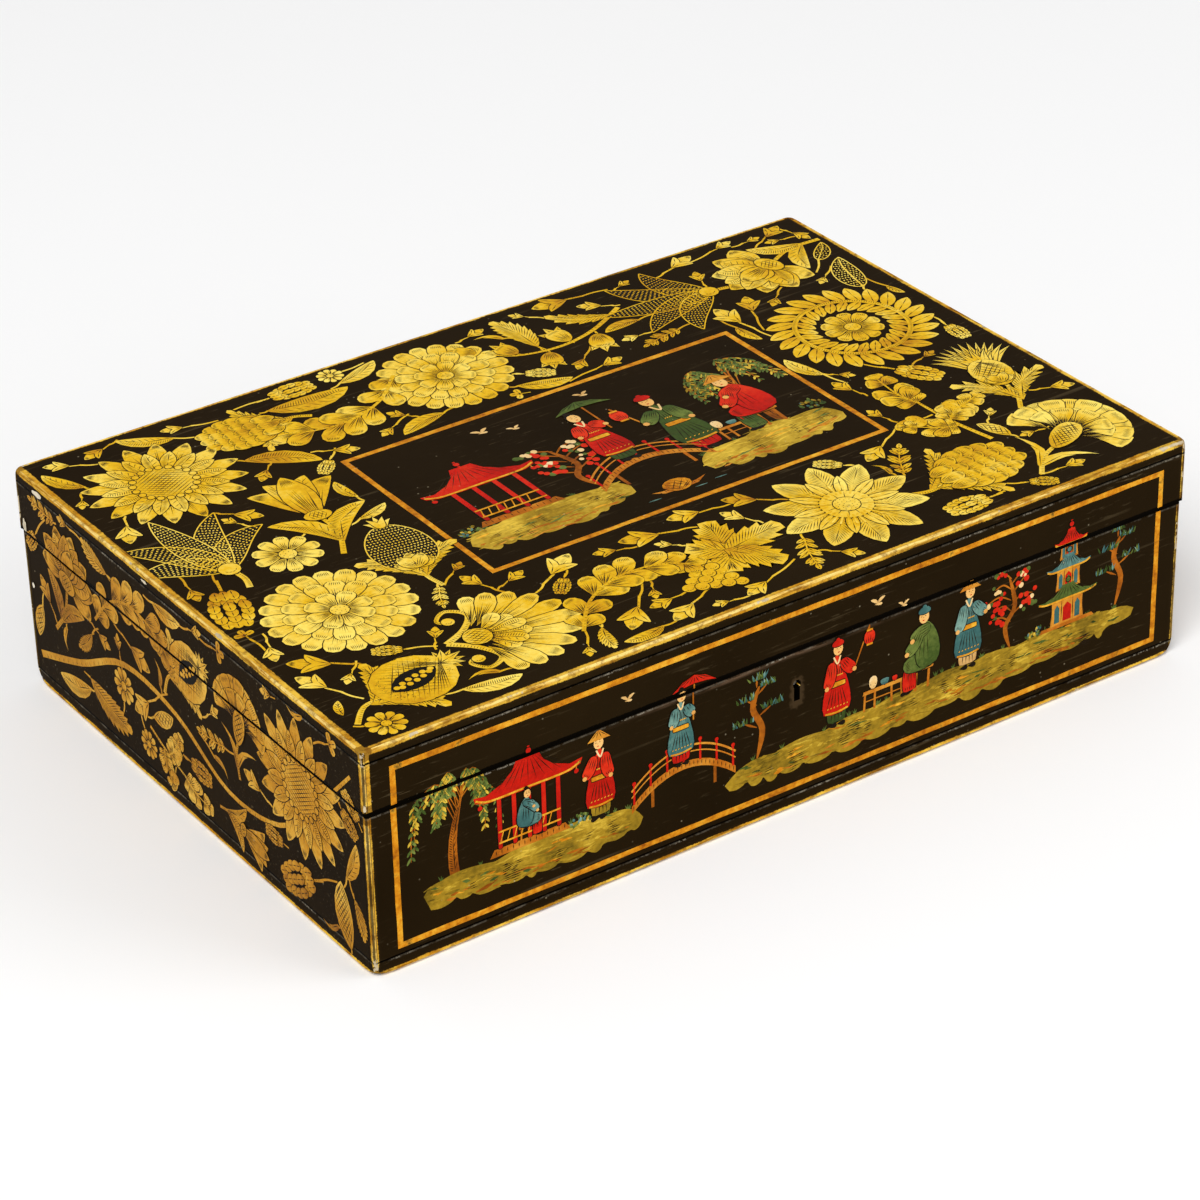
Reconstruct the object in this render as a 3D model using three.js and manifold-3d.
// A hinged wooden table box for pens, japanned black, with a till lock and a lift-out tray.
// Millimetres, +Z up. X runs along the front, which faces -Y, and the origin is the middle of the base.
import * as THREE from "three";
import { mergeVertices } from "three/addons/utils/BufferGeometryUtils.js";
import Module from "manifold-3d";

const wasm = await Module();
wasm.setup();

// Driving dimensions of the box
const boxLength = 305;
const boxDepth = 207;
const caseHeight = 56; // floor to the seam under the lid
const lidHeight = 21.7;
const seamGap = 0.3;
const lidOverhang = 0.6; // how far the lid stands proud of the case all round
const wall = 9;
const topBoard = 4.5;
const bottomBoard = 5;
const cornerLap = 3; // skin of the front and back boards that covers the ends of the side boards
const cornerRound = 1.8; // upright corners
const edgeRound = 1.3; // top and bottom edges
const glueLine = 0.1;

// Butt hinges with a stop
const hingeLength = 38;
const hingeInset = 38; // from the end of the box to a hinge
const leafThickness = 1.5;
const leafBite = 7; // how far a leaf reaches over the wood
const knuckleRadius = 2.5;
const hingePinRadius = 1;
const hingePinClearance = 0.1;
const stopDepth = 1.7; // the stop lugs beyond the knuckle
const openAngle = 100;
const stopSlack = 0.8; // degrees left between the stop faces when fully open
const runningGap = 0.3; // between parts that turn or slide past each other

// Countersunk wood screws
const screwHeadRadius = 1.9;
const screwShankRadius = 0.8;
const screwHeadDepth = 1.2;
const screwLength = 8;
const screwSlot = 0.5;
const screwClearance = 0.15;
const screwInset = 8; // from a hinge leaf's end

// Till lock in the front board, from its parts' own sizes
const lockPlate = 1;
const lockCap = 0.6;
const lockSideRoom = 3; // past the thrown bolt
const lockFootroom = 4; // below the keyhole
const selvedgeThickness = 1.5;
const selvedgeEar = 10; // past each side of the lock
const lockScrewMargin = 0.4; // head to the lock's rim
const earMargin = 1.6; // screw head to the end of an ear
const keyPostRadius = 0.9;
const keyPostInset = 1.8; // behind the front face
const keyDrop = 2.6; // key post below the bolt
const keyholeRadius = 1.5;
const keyholeSlotWidth = 2.2;
const keyholeSlotDrop = 5.7; // slot's end below the key post
const boltThickness = 1.4;
const boltBarHeight = 3;
const boltClearance = 0.5; // to the loops above it
const boltStudRadius = 0.6;
const boltStudClearance = 0.15;
const boltSlotInset = 1.3;
const talonWidth = 4;
const talonDepth = 1.4;
const hookPost = 3;
const hookHeight = 2.3;
const hookHeadroom = 1.3; // under the selvedge
const hookSpacing = 1.6; // loop to the next hook, when it is thrown
const linkThickness = 2; // of a loop, along X
const linkWall = 0.6; // of a loop, each side of its eye
const linkFoot = 0.7; // below the eye
const eyeClearance = 0.4; // above and below a hook in its loop
const linkPlateThickness = 1.5;
const linkPlateEar = 10.5; // past the outer hooks
const linkPlateDepth = 5.2;
const linkSideGap = 0.5; // prong tip to loop when unlocked
const prongPast = 1.2; // prong beyond its loop when locked
const springStrip = 0.5;
const springWidth = 1.4;
const springReach = 3; // of its foot and its tip

// Lining, ledges and the lift-out tray
const liningThickness = 0.8;
const ledgeThickness = 2.5;
const trayClearance = 0.8; // to the case, all round
const trayDrop = 1.9; // rim below the seam
const trayHeight = 20;
const trayFloor = 2.5;
const trayWall = 4;
const dividerThickness = 3;
const dividerDrop = 2.5; // dividers below the tray's rim
const penTroughWidth = 58;
const wellCount = 3;
const knobFootRadius = 1.7;
const knobNeckRadius = 1.1;
const knobBallRadius = 2.9;
const knobHeight = 7.5;

// Levels and faces that several pieces share
const seamLevel = caseHeight;
const lidLevel = caseHeight + seamGap;
const boxHeight = lidLevel + lidHeight;
const caseLength = boxLength - 2 * lidOverhang;
const caseDepth = boxDepth - 2 * lidOverhang;
const frontInner = -caseDepth / 2 + wall; // inner face of the case's front board
const innerLength = caseLength - 2 * wall;
const innerDepth = caseDepth - 2 * wall;
const hingeAxisY = boxDepth / 2 + knuckleRadius + runningGap;
const hingeAxisZ = caseHeight + seamGap / 2;
const REACH = boxHeight; // how far cutting tools run past what they cut
const WELD = 0.4; // how far shapes that are joined run into each other
const FILLET_SHARE = 0.8; // most of a lap that a rounded edge may take

// Materials
function material(color, roughness, metalness) {
  return new THREE.MeshStandardMaterial({ color, roughness, metalness });
}
const japan = material(0x17130f, 0.35, 0);
const brass = material(0xb08a45, 0.38, 1);
const steel = material(0x6b675f, 0.45, 1);
const paper = material(0xb98a86, 0.9, 0);
const cedar = material(0x8a5532, 0.6, 0);

// Shape helpers
function solid(geometry) {
  const bare = geometry.index ? geometry.toNonIndexed() : geometry.clone();
  bare.deleteAttribute("normal");
  bare.deleteAttribute("uv");
  const merged = mergeVertices(bare, 1e-4);
  return new wasm.Manifold(
    new wasm.Mesh({
      numProp: 3,
      vertProperties: new Float32Array(merged.attributes.position.array),
      triVerts: new Uint32Array(merged.index.array),
    }),
  );
}

function geometryOf(manifold) {
  const mesh = manifold.getMesh();
  const geometry = new THREE.BufferGeometry();
  geometry.setAttribute("position", new THREE.BufferAttribute(mesh.vertProperties, 3));
  geometry.setIndex(new THREE.BufferAttribute(mesh.triVerts, 1));
  const flat = geometry.toNonIndexed();
  flat.computeVertexNormals();
  return flat;
}

function join(geometries) {
  return geometryOf(geometries.map(solid).reduce((a, b) => a.add(b)));
}

function cut(geometry, tools) {
  return geometryOf(tools.map(solid).reduce((a, b) => a.subtract(b), solid(geometry)));
}

function keep(geometry, region) {
  return geometryOf(solid(geometry).intersect(solid(region)));
}

function block(x0, x1, y0, y1, z0, z1) {
  const geometry = new THREE.BoxGeometry(x1 - x0, y1 - y0, z1 - z0);
  return geometry.translate((x0 + x1) / 2, (y0 + y1) / 2, (z0 + z1) / 2);
}

function rodZ(radius, z0, z1, sides = 20) {
  const geometry = new THREE.CylinderGeometry(radius, radius, z1 - z0, sides);
  return geometry.rotateX(Math.PI / 2).translate(0, 0, (z0 + z1) / 2);
}

function rodX(radius, x0, x1, sides = 24) {
  return rodZ(radius, x0, x1, sides).rotateY(Math.PI / 2);
}

function prism(points, height) {
  const shape = new THREE.Shape(points.map(([x, y]) => new THREE.Vector2(x, y)));
  return new THREE.ExtrudeGeometry(shape, { depth: height, bevelEnabled: false });
}

// A prism whose outline lies in the YZ plane, from x0 to x1.
function prismX(points, x0, x1) {
  return prism(points, x1 - x0).rotateX(Math.PI / 2).rotateZ(Math.PI / 2).translate(x0, 0, 0);
}

// A turned solid about Z, from (radius, z) points that start and end on the axis.
function turned(profile, sides = 16) {
  return new THREE.LatheGeometry(
    profile.map(([r, z]) => new THREE.Vector2(r, z)),
    sides,
  ).rotateX(Math.PI / 2);
}

const root = new THREE.Group();

function add(name, geometry, finish, x = 0, y = 0, z = 0) {
  const mesh = new THREE.Mesh(geometry, finish);
  mesh.name = name;
  mesh.position.set(x, y, z);
  root.add(mesh);
  return mesh;
}

// A slotted countersunk screw with its head up and its face at z = 0
function screwProfile(extra, length, top) {
  return [
    [0, -length],
    [screwShankRadius + extra, -length],
    [screwShankRadius + extra, -screwHeadDepth - extra],
    [screwHeadRadius + extra, -extra],
    [screwHeadRadius + extra, top],
    [0, top],
  ];
}

function screwBody(length) {
  const slot = block(-REACH, REACH, -screwSlot / 2, screwSlot / 2, -screwSlot, REACH);
  return cut(turned(screwProfile(0, length, 0)), [slot]);
}

function screwHole(length) {
  return turned(screwProfile(screwClearance, length + 2 * screwClearance, REACH));
}

// direction is the way the head faces: "up", "down" or "in", which is +Y
function facing(geometry, direction) {
  if (direction === "down") return geometry.rotateX(Math.PI);
  return direction === "in" ? geometry.rotateX(-Math.PI / 2) : geometry;
}

function screwHoleAt(x, y, z, direction, length = screwLength) {
  return facing(screwHole(length), direction).translate(x, y, z);
}

function addScrew(name, x, y, z, direction, length = screwLength) {
  add(name, facing(screwBody(length), direction), brass, x, y, z);
}

// Boards of the case and the lid: lapped corners, with the side boards let in behind the laps
function longBoardOutline(length, depth) {
  const x = length / 2;
  const y = -depth / 2;
  const round = Math.min(cornerRound, cornerLap * FILLET_SHARE);
  const shape = new THREE.Shape();
  shape.moveTo(-x, y + cornerLap);
  shape.lineTo(-x, y + round);
  shape.absarc(-x + round, y + round, round, Math.PI, 1.5 * Math.PI, false);
  shape.lineTo(x - round, y);
  shape.absarc(x - round, y + round, round, 1.5 * Math.PI, 2 * Math.PI, false);
  shape.lineTo(x, y + cornerLap);
  shape.lineTo(x - wall, y + cornerLap);
  shape.lineTo(x - wall, y + wall);
  shape.lineTo(-x + wall, y + wall);
  shape.lineTo(-x + wall, y + cornerLap);
  return shape;
}

function longBoard(length, depth, z0, z1, back) {
  const geometry = new THREE.ExtrudeGeometry(longBoardOutline(length, depth), {
    depth: z1 - z0,
    bevelEnabled: false,
    curveSegments: 4,
  }).translate(0, 0, z0);
  return back ? geometry.rotateZ(Math.PI) : geometry;
}

function sideBoard(length, depth, z0, z1, side) {
  const inner = length / 2 - wall + glueLine;
  const outer = length / 2;
  const y = depth / 2 - cornerLap - glueLine;
  return side < 0 ? block(-outer, -inner, -y, y, z0, z1) : block(inner, outer, -y, y, z0, z1);
}

// A flat board with rounded upright corners, and a rounded edge on its upper or its lower side
function slab(length, depth, thickness, roundedTop) {
  const x = length / 2;
  const y = depth / 2;
  const corner = cornerRound;
  const edge = Math.min(edgeRound, cornerRound * FILLET_SHARE, thickness * FILLET_SHARE);
  const shape = new THREE.Shape();
  shape.moveTo(-x + corner, -y);
  shape.lineTo(x - corner, -y);
  shape.absarc(x - corner, -y + corner, corner, -Math.PI / 2, 0, false);
  shape.lineTo(x, y - corner);
  shape.absarc(x - corner, y - corner, corner, 0, Math.PI / 2, false);
  shape.lineTo(-x + corner, y);
  shape.absarc(-x + corner, y - corner, corner, Math.PI / 2, Math.PI, false);
  shape.lineTo(-x, -y + corner);
  shape.absarc(-x + corner, -y + corner, corner, Math.PI, 1.5 * Math.PI, false);
  const geometry = new THREE.ExtrudeGeometry(shape, {
    depth: thickness,
    bevelSize: edge,
    bevelThickness: edge,
    bevelOffset: -edge,
    bevelSegments: 3,
    curveSegments: 4,
  }).translate(0, 0, -edge);
  const trimmed = keep(geometry, block(-length, length, -depth, depth, 0, thickness + REACH));
  return roundedTop ? trimmed : trimmed.rotateX(Math.PI).translate(0, 0, thickness);
}

// Where things stand along X
const hingeX = boxLength / 2 - hingeInset - hingeLength / 2;
const hingePlaces = [
  ["left", -hingeX],
  ["right", hingeX],
];
const screwPlaces = [
  ["a", -hingeLength / 2 + screwInset],
  ["b", hingeLength / 2 - screwInset],
];
const caseLeafScrewY = caseDepth / 2 - leafBite / 2;
const lidLeafScrewY = caseLeafScrewY + lidOverhang / 2;
const leafInnerY = caseDepth / 2 - leafBite;

// Pockets in the back boards that the hinge leaves and their screws go into
function hingePockets(z, direction) {
  const up = direction === "up";
  const floor = up ? z - leafThickness - glueLine : z + leafThickness + glueLine;
  const screwY = up ? caseLeafScrewY : lidLeafScrewY;
  const tools = [];
  for (const [, x] of hingePlaces) {
    const half = hingeLength / 2 + glueLine;
    const low = up ? floor : z - REACH;
    const high = up ? z + REACH : floor;
    tools.push(block(x - half, x + half, leafInnerY - glueLine, boxDepth, low, high));
    for (const [, screwX] of screwPlaces) {
      tools.push(screwHoleAt(x + screwX, screwY, z, direction));
    }
  }
  return tools;
}

// Lock levels, from the seam down
const selvedgeUnder = seamLevel - selvedgeThickness;
const hookTop = selvedgeUnder - hookHeadroom;
const hookLow = hookTop - hookHeight;
const eyeTop = hookTop + eyeClearance;
const eyeLow = hookLow - eyeClearance;
const loopLow = eyeLow - linkFoot;
const boltTop = loopLow - boltClearance;
const boltLow = boltTop - boltBarHeight;
const keyLevel = boltLow - keyDrop;
const lockBottom = keyLevel - keyholeSlotDrop - lockFootroom;

// Lock depths, from the inner face of the front board towards the front
const loopWidth = boltThickness + 2 * runningGap + 2 * linkWall;
const loopBack = frontInner - lockPlate - runningGap;
const loopFront = loopBack - loopWidth;
const loopMiddle = (loopBack + loopFront) / 2;
const capBack = loopFront - runningGap;
const capFront = capBack - lockCap;
const lockFront = capFront - glueLine;
const skin = lockFront + caseDepth / 2; // wood left in front of the lock

// Lock places along X
const hookProng = linkThickness + prongPast + runningGap;
const loopStart = hookPost + hookProng + linkSideGap; // from a hook's start
const hookSpan = loopStart + linkThickness;
const boltThrow = linkSideGap + linkThickness + prongPast;
const hookPitch = hookSpan + boltThrow + hookSpacing;
const hookStarts = [-(hookPitch + hookSpan) / 2, (hookPitch - hookSpan) / 2];
const boltEnd = hookStarts[1] + hookSpan;
const lockEnd = boltEnd + boltThrow + lockSideRoom + lockPlate;
const selvedgeEnd = lockEnd + selvedgeEar;
const selvedgeScrewX = selvedgeEnd - screwHeadRadius - earMargin;
const selvedgeScrewY = (frontInner + lockFront) / 2;
const linkEnd = boltEnd + linkPlateEar;
const linkScrewX = linkEnd - screwHeadRadius - earMargin;
const linkBack = loopBack + runningGap;
const linkFront = linkBack - linkPlateDepth;
const linkScrewY = (linkBack + linkFront) / 2;
const lockScrewX = lockEnd - lockPlate - screwHeadRadius - lockScrewMargin;
const lockScrewZ = lockBottom + lockPlate + screwHeadRadius + lockScrewMargin;
const lockScrewLength = frontInner - lockFront + skin / 2;

// A keyhole-shaped prism standing in the front face, from depth y0 to y1
function keyholePrism(y0, y1) {
  const half = keyholeSlotWidth / 2;
  const meet = Math.asin(half / keyholeRadius);
  const shape = new THREE.Shape();
  shape.moveTo(-half, -keyholeSlotDrop);
  shape.lineTo(half, -keyholeSlotDrop);
  shape.lineTo(half, -keyholeRadius * Math.cos(meet));
  shape.absarc(0, 0, keyholeRadius, -Math.PI / 2 + meet, 1.5 * Math.PI - meet, false);
  shape.lineTo(-half, -keyholeSlotDrop);
  return new THREE.ExtrudeGeometry(shape, { depth: y1 - y0, bevelEnabled: false, curveSegments: 10 })
    .rotateX(Math.PI / 2)
    .translate(0, y1, keyLevel);
}

// The screws' holes that the lock case and the wood round it share
function lockScrewHoles() {
  return [-1, 1].flatMap((side) => [
    screwHoleAt(side * selvedgeScrewX, selvedgeScrewY, seamLevel, "up"),
    screwHoleAt(side * lockScrewX, frontInner, lockScrewZ, "in", lockScrewLength),
  ]);
}

function linkScrewHoles() {
  return [-1, 1].map((side) => screwHoleAt(side * linkScrewX, linkScrewY, lidLevel, "down"));
}

function lockRecess() {
  const x = lockEnd + runningGap;
  const ear = selvedgeEnd + glueLine;
  const inside = frontInner + REACH;
  const above = seamLevel + REACH;
  return [
    block(-x, x, lockFront, inside, lockBottom - runningGap, above),
    block(-ear, ear, lockFront, inside, selvedgeUnder - glueLine, above),
    keyholePrism(-boxDepth, inside),
    ...lockScrewHoles(),
  ];
}

function linkRecess() {
  const x = linkEnd + glueLine;
  const top = lidLevel + linkPlateThickness + glueLine;
  const plate = block(-x, x, linkFront - glueLine, linkBack + glueLine, lidLevel - REACH, top);
  return [plate, ...linkScrewHoles()];
}

// Case
function buildCase() {
  const low = bottomBoard + glueLine;
  add("bottom_board", slab(caseLength, caseDepth, bottomBoard, false), japan);
  add("case_front", cut(longBoard(caseLength, caseDepth, low, seamLevel, false), lockRecess()), japan);
  add(
    "case_back",
    cut(longBoard(caseLength, caseDepth, low, seamLevel, true), hingePockets(seamLevel, "up")),
    japan,
  );
  add("case_left", sideBoard(caseLength, caseDepth, low, seamLevel, -1), japan);
  add("case_right", sideBoard(caseLength, caseDepth, low, seamLevel, 1), japan);
}

// Lid
function buildLid() {
  const high = boxHeight - topBoard - glueLine;
  add("lid_top_board", slab(boxLength, boxDepth, topBoard, true), japan, 0, 0, boxHeight - topBoard);
  add("lid_front", cut(longBoard(boxLength, boxDepth, lidLevel, high, false), linkRecess()), japan);
  add(
    "lid_back",
    cut(longBoard(boxLength, boxDepth, lidLevel, high, true), hingePockets(lidLevel, "down")),
    japan,
  );
  add("lid_left", sideBoard(boxLength, boxDepth, lidLevel, high, -1), japan);
  add("lid_right", sideBoard(boxLength, boxDepth, lidLevel, high, 1), japan);
}

// Hinges, drawn about the pin: the lower leaf lies under z = 0 and the upper leaf is its mirror
function stopLug(inner, x0, x1) {
  const outer = knuckleRadius + stopDepth;
  const start = (-(openAngle + stopSlack) / 2) * (Math.PI / 180);
  const end = -Math.PI / 2;
  const at = (radius, angle) => [radius * Math.cos(angle), radius * Math.sin(angle)];
  return prismX([at(inner, start), at(inner, end), at(outer, end), at(outer, start)], x0, x1);
}

// The leaf is cut away in the gaps, which leave room for the other leaf's knuckles
function hingeLeaf(spans, gaps, lugs, screwY) {
  const top = -seamGap / 2;
  const bite = hingeAxisY - leafInnerY;
  const half = hingeLength / 2;
  const room = knuckleRadius + runningGap;
  const notches = gaps.map(([x0, x1]) => block(x0, x1, -room, REACH, -REACH, REACH));
  const plate = cut(block(-half, half, -bite, 0, top - leafThickness, top), notches);
  const knuckles = spans.map(([x0, x1]) => rodX(knuckleRadius, x0, x1));
  const bore = rodX(hingePinRadius + hingePinClearance, -REACH, REACH);
  const holes = screwPlaces.map(([, x]) => screwHoleAt(x, screwY, top, "up"));
  return join([cut(join([plate, ...knuckles]), [bore, ...holes]), ...lugs]);
}

function buildHinge(side, x) {
  const half = hingeLength / 2;
  const third = hingeLength / 6; // from the middle to the end of the middle knuckle
  const outerSpans = [
    [-half, -third],
    [third, half],
  ];
  const middleSpan = [-third + runningGap, third - runningGap];
  const shell = knuckleRadius - WELD; // lugs start inside the knuckle's own wall
  const lowerLugs = [
    ...outerSpans.map(([x0, x1]) => stopLug(shell, x0, x1)),
    stopLug(knuckleRadius + runningGap, -half, half),
  ];
  const upperLugs = [stopLug(shell, ...middleSpan)];
  const upperGaps = [
    [-REACH, -third + runningGap],
    [third - runningGap, REACH],
  ];
  const lower = hingeLeaf(outerSpans, [[-third, third]], lowerLugs, caseLeafScrewY - hingeAxisY);
  const upper = hingeLeaf([middleSpan], upperGaps, upperLugs, lidLeafScrewY - hingeAxisY);
  const flipped = geometryOf(solid(upper).mirror([0, 0, 1]));
  const pin = rodX(hingePinRadius, -half, half);
  add(`hinge_${side}_case_leaf`, lower, brass, x, hingeAxisY, hingeAxisZ);
  add(`hinge_${side}_lid_leaf`, flipped, brass, x, hingeAxisY, hingeAxisZ);
  add(`hinge_${side}_pin`, pin, brass, x, hingeAxisY, hingeAxisZ);
  for (const [letter, screwX] of screwPlaces) {
    addScrew(`hinge_${side}_case_screw_${letter}`, x + screwX, caseLeafScrewY, seamLevel, "up");
    addScrew(`hinge_${side}_lid_screw_${letter}`, x + screwX, lidLeafScrewY, lidLevel, "down");
  }
}

// A slot's two ends in the unlocked bolt, and the place of the stud that runs in it
const slotHalf = boltStudRadius + boltStudClearance;
const slotLength = boltThrow + 2 * slotHalf;
const slotPlaces = [hookStarts[0] + boltSlotInset, boltEnd - boltSlotInset - slotLength].map((x) => ({
  x0: x,
  x1: x + slotLength,
  stud: x + slotLength - slotHalf,
}));
const slotLevel = boltTop - boltBarHeight / 2;

function buildLockCase() {
  const rim = (x0, x1, z0, z1) => block(x0, x1, capBack + glueLine, frontInner, z0, z1);
  const under = selvedgeUnder + WELD;
  const studs = slotPlaces.map(({ stud }) =>
    rodZ(boltStudRadius, capBack + glueLine, frontInner - lockPlate + WELD)
      .rotateX(-Math.PI / 2)
      .translate(stud, 0, slotLevel),
  );
  const loopRoom = hookStarts.map((start) => {
    const x0 = start + loopStart - runningGap;
    const x1 = start + hookSpan + runningGap;
    const y0 = loopFront - runningGap;
    return block(x0, x1, y0, loopBack + runningGap, selvedgeUnder - glueLine, seamLevel + REACH);
  });
  const made = join([
    block(-lockEnd, lockEnd, frontInner - lockPlate, frontInner, lockBottom, under),
    block(-selvedgeEnd, selvedgeEnd, lockFront + glueLine, frontInner, selvedgeUnder, seamLevel),
    rim(-lockEnd, -lockEnd + lockPlate, lockBottom, under),
    rim(lockEnd - lockPlate, lockEnd, lockBottom, under),
    rim(-lockEnd, lockEnd, lockBottom, lockBottom + lockPlate),
    ...studs,
  ]);
  add("lock_case", cut(made, [...loopRoom, ...lockScrewHoles()]), brass);
  const cap = block(-lockEnd, lockEnd, capFront, capBack, lockBottom, selvedgeUnder - glueLine);
  add("lock_cap", cut(cap, [keyholePrism(-boxDepth, frontInner), ...lockScrewHoles()]), brass);
}

function buildBolt() {
  const y0 = loopMiddle - boltThickness / 2;
  const y1 = loopMiddle + boltThickness / 2;
  const hooks = hookStarts.flatMap((start) => [
    block(start, start + hookPost, y0, y1, boltTop - WELD, hookTop),
    block(start + hookPost - WELD, start + hookPost + hookProng, y0, y1, hookLow, hookTop),
  ]);
  const bar = block(hookStarts[0], boltEnd, y0, y1, boltLow, boltTop);
  const slots = slotPlaces.map(({ x0, x1 }) =>
    block(x0, x1, y0 - REACH, y1 + REACH, slotLevel - slotHalf, slotLevel + slotHalf),
  );
  const talonHalf = talonWidth / 2;
  const talon = block(-talonHalf, talonHalf, y0 - REACH, y1 + REACH, boltLow - REACH, boltLow + talonDepth);
  add("lock_bolt", cut(join([bar, ...hooks]), [talon, ...slots]), steel);
}

function buildKeyPost() {
  const post = rodZ(keyPostRadius, -caseDepth / 2 + keyPostInset, frontInner - lockPlate - glueLine);
  add("lock_key_post", post.rotateX(-Math.PI / 2), steel, 0, 0, keyLevel);
}

// A bent strip: foot on the lock's floor, leaning back under the bolt
function buildSpring() {
  const foot = lockBottom + lockPlate + glueLine;
  const tip = boltLow - runningGap;
  const x = -lockScrewX + screwHeadRadius + 2 * springReach;
  const strip = [
    [x, foot],
    [x + springReach, foot],
    [x + springReach, foot + springStrip],
    [x + springStrip, foot + springStrip],
    [x + springStrip - springReach, tip - springStrip],
    [x + springStrip, tip - springStrip],
    [x + springStrip, tip],
    [x - springReach, tip],
  ];
  const spring = prism(strip, springWidth).rotateX(Math.PI / 2);
  add("lock_spring", spring, steel, 0, loopMiddle + springWidth / 2, 0);
}

// Two loops, each riveted through the plate with its eye below it
function buildLinkPlate() {
  const top = lidLevel + linkPlateThickness;
  const slots = [];
  for (const [i, side] of ["left", "right"].entries()) {
    const x0 = hookStarts[i] + loopStart;
    const x1 = hookStarts[i] + hookSpan;
    const eye = block(x0 - REACH, x1 + REACH, loopFront + linkWall, loopBack - linkWall, eyeLow, eyeTop);
    add(`link_loop_${side}`, cut(block(x0, x1, loopFront, loopBack, loopLow, top), [eye]), brass);
    const g = glueLine;
    slots.push(block(x0 - g, x1 + g, loopFront - g, loopBack + g, loopLow, top + REACH));
  }
  const plate = block(-linkEnd, linkEnd, linkFront, linkBack, lidLevel, top);
  add("link_plate", cut(plate, [...slots, ...linkScrewHoles()]), brass);
}

function buildLock() {
  buildLockCase();
  buildBolt();
  buildKeyPost();
  buildSpring();
  buildLinkPlate();
  for (const [side, sign] of [["left", -1], ["right", 1]]) {
    addScrew(`selvedge_screw_${side}`, sign * selvedgeScrewX, selvedgeScrewY, seamLevel, "up");
    addScrew(`lock_screw_${side}`, sign * lockScrewX, frontInner, lockScrewZ, "in", lockScrewLength);
    addScrew(`link_screw_${side}`, sign * linkScrewX, linkScrewY, lidLevel, "down");
  }
}

// Heights of the lift-out tray, from its rim down, and of the ledges under it
const trayTop = seamLevel - trayDrop;
const trayLow = trayTop - trayHeight;
const trayInnerLow = trayLow + trayFloor + glueLine;
const liningTop = bottomBoard + glueLine + liningThickness;
const ledgeLow = liningTop + glueLine;
const ledgeTop = trayLow - glueLine;

function buildLining() {
  const x = innerLength / 2 - glueLine;
  const y = innerDepth / 2 - glueLine;
  const end = y - ledgeThickness - glueLine;
  add("floor_lining", block(-x, x, -y, y, bottomBoard + glueLine, liningTop), paper);
  add("ledge_front", block(-x, x, -y, -y + ledgeThickness, ledgeLow, ledgeTop), cedar);
  add("ledge_back", block(-x, x, y - ledgeThickness, y, ledgeLow, ledgeTop), cedar);
  add("ledge_left", block(-x, -x + ledgeThickness, -end, end, ledgeLow, ledgeTop), cedar);
  add("ledge_right", block(x - ledgeThickness, x, -end, end, ledgeLow, ledgeTop), cedar);
  const lidX = boxLength / 2 - wall - glueLine;
  const lidY = boxDepth / 2 - wall - glueLine;
  const under = boxHeight - topBoard - glueLine;
  add("lid_lining", block(-lidX, lidX, -lidY, lidY, under - liningThickness, under), paper);
}

// A turned knob standing on z = 0, its heights as shares of the whole
function knob() {
  return turned([
    [0, 0],
    [knobFootRadius, 0],
    [knobFootRadius, knobHeight * 0.1],
    [knobNeckRadius, knobHeight * 0.2],
    [knobNeckRadius, knobHeight * 0.35],
    [knobBallRadius * 0.8, knobHeight * 0.45],
    [knobBallRadius, knobHeight * 0.65],
    [knobBallRadius * 0.8, knobHeight * 0.85],
    [knobBallRadius * 0.4, knobHeight * 0.97],
    [0, knobHeight],
  ]);
}

// The tray has a pen trough along the front, and wells behind it
function buildTray() {
  const x = innerLength / 2 - trayClearance;
  const y = innerDepth / 2 - trayClearance;
  const inX = x - trayWall - glueLine;
  const inY = y - trayWall - glueLine;
  const dividerTop = trayTop - dividerDrop;
  const troughBack = -y + trayWall + penTroughWidth;
  const wellFront = troughBack + dividerThickness + glueLine;
  const upright = (name, x0, x1, y0, y1, top) => add(name, block(x0, x1, y0, y1, trayInnerLow, top), cedar);
  add("tray_bottom", block(-x, x, -y, y, trayLow, trayLow + trayFloor), cedar);
  upright("tray_front", -x, x, -y, -y + trayWall, trayTop);
  upright("tray_back", -x, x, y - trayWall, y, trayTop);
  upright("tray_left", -x, -x + trayWall, -inY, inY, trayTop);
  upright("tray_right", x - trayWall, x, -inY, inY, trayTop);
  upright("pen_divider", -inX, inX, troughBack, troughBack + dividerThickness, dividerTop);
  for (let i = 1; i < wellCount; i++) {
    const middle = -inX + (2 * inX * i) / wellCount;
    const x0 = middle - dividerThickness / 2;
    upright(`well_divider_${i}`, x0, x0 + dividerThickness, wellFront, inY, dividerTop);
  }
  add("tray_knob_left", knob(), brass, -x + trayWall / 2, 0, trayTop + glueLine);
  add("tray_knob_right", knob(), brass, x - trayWall / 2, 0, trayTop + glueLine);
}

buildCase();
buildLid();
for (const [side, x] of hingePlaces) buildHinge(side, x);
buildLock();
buildLining();
buildTray();

export default root;
